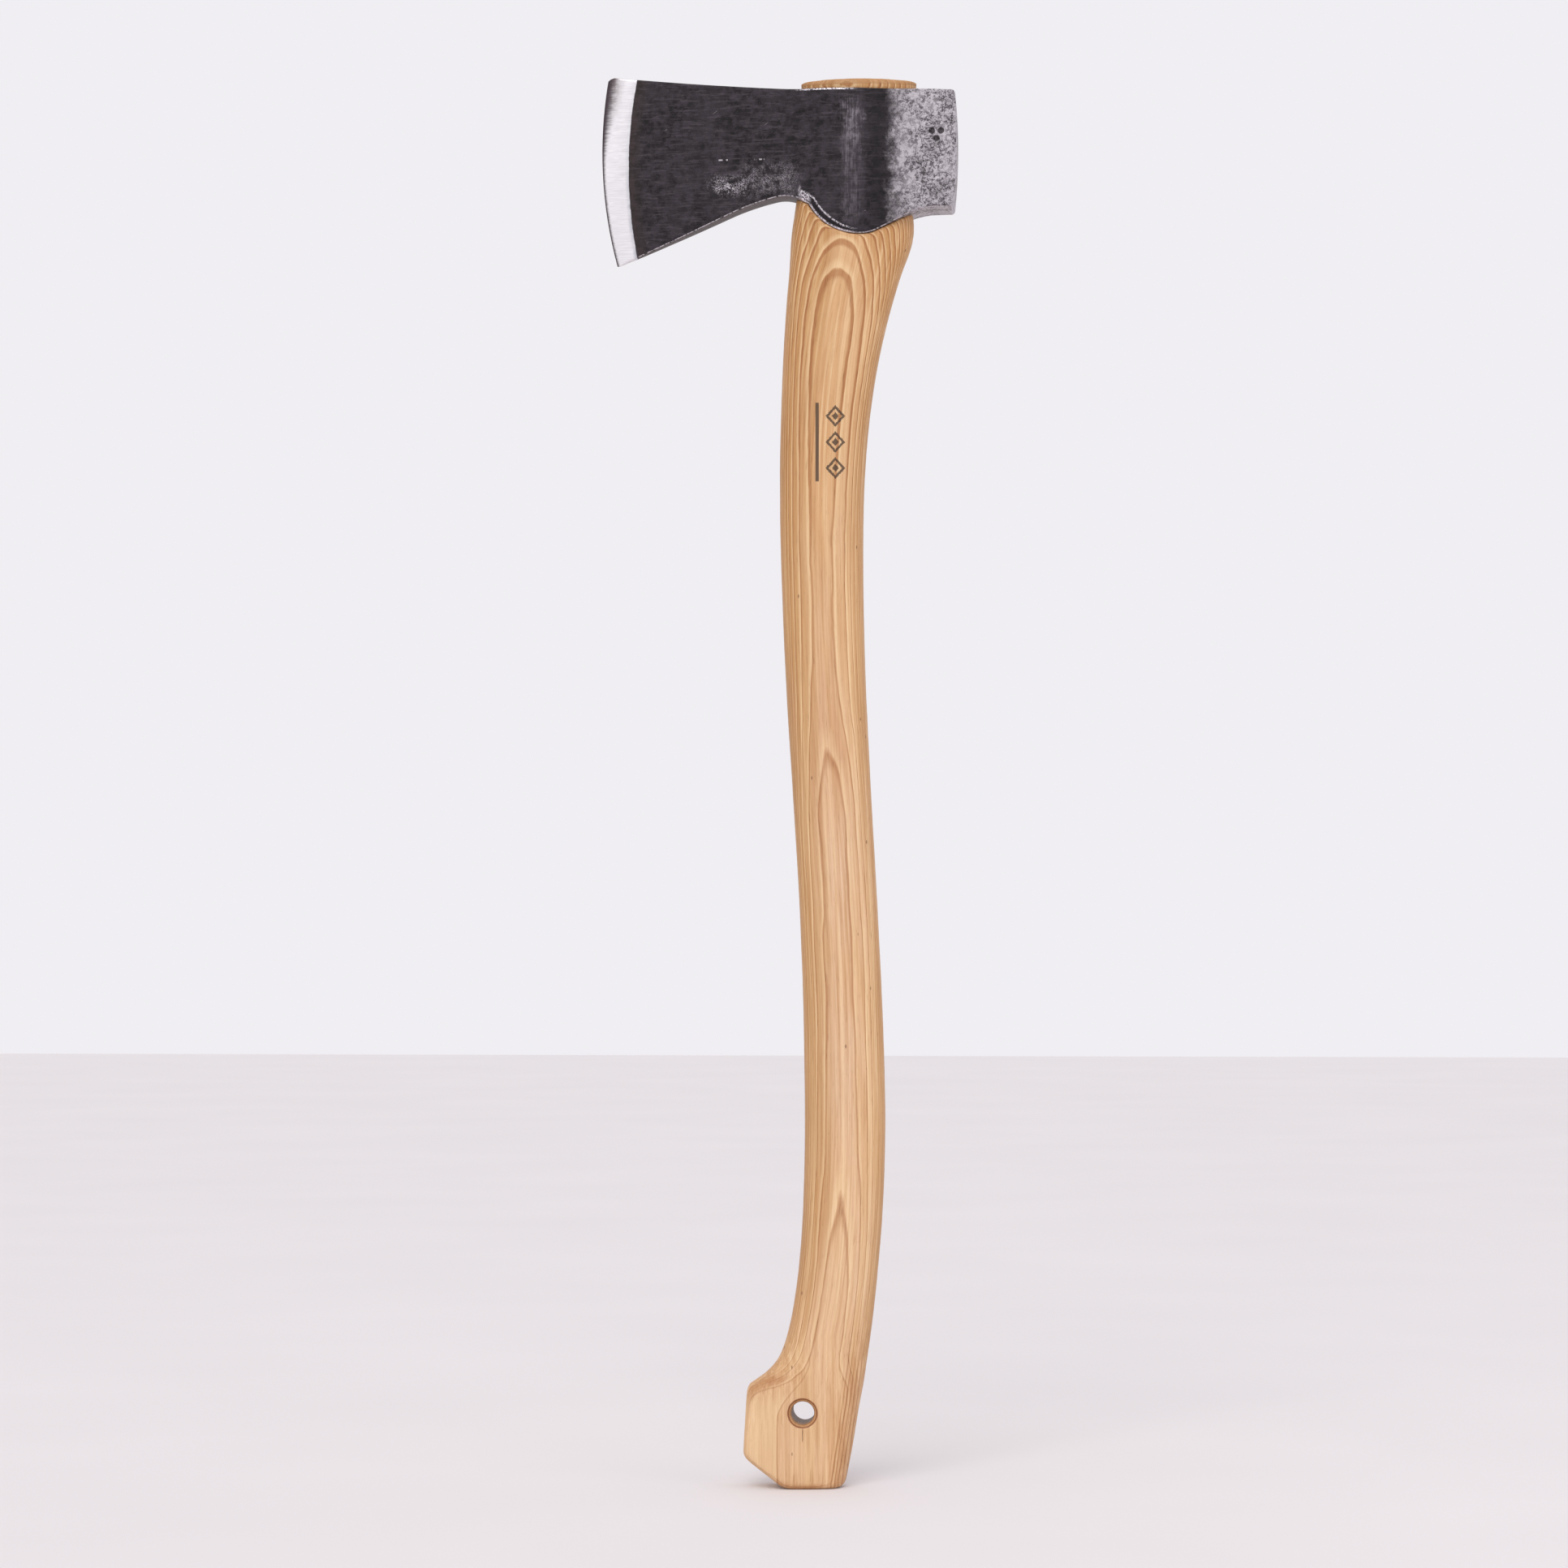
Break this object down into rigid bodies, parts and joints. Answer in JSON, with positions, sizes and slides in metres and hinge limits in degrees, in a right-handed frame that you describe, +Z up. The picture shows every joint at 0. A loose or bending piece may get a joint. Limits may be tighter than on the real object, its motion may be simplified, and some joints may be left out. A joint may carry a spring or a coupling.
{
  "type": "felling axe",
  "caption": "Single-bit axe with a flared forged head, lugs and poll, wedged on a long curved hardwood haft with a hanging hole in its knob.",
  "frame": {"origin": "middle of the flat butt that the haft stands on, on the axe's middle plane", "axes": "+X from the cutting edge towards the poll, +Y across the axe, +Z up the haft"},
  "size_m": [0.2002, 0.032, 0.7899],
  "materials": {
    "forged_steel": "dark forge scale with a bright ground edge bevel and a worn, mottled poll",
    "hickory": "linseed-oiled satin, growth rings showing",
    "wedge_wood": "sawn end grain, unfinished",
    "wedge_steel": "dull steel with light oxide"
  },
  "bodies": {
    "root": {"axe_head": "forged_steel", "haft": "hickory", "wooden_wedge": "wedge_wood", "steel_wedge": "wedge_steel"}
  },
  "joints": []
}
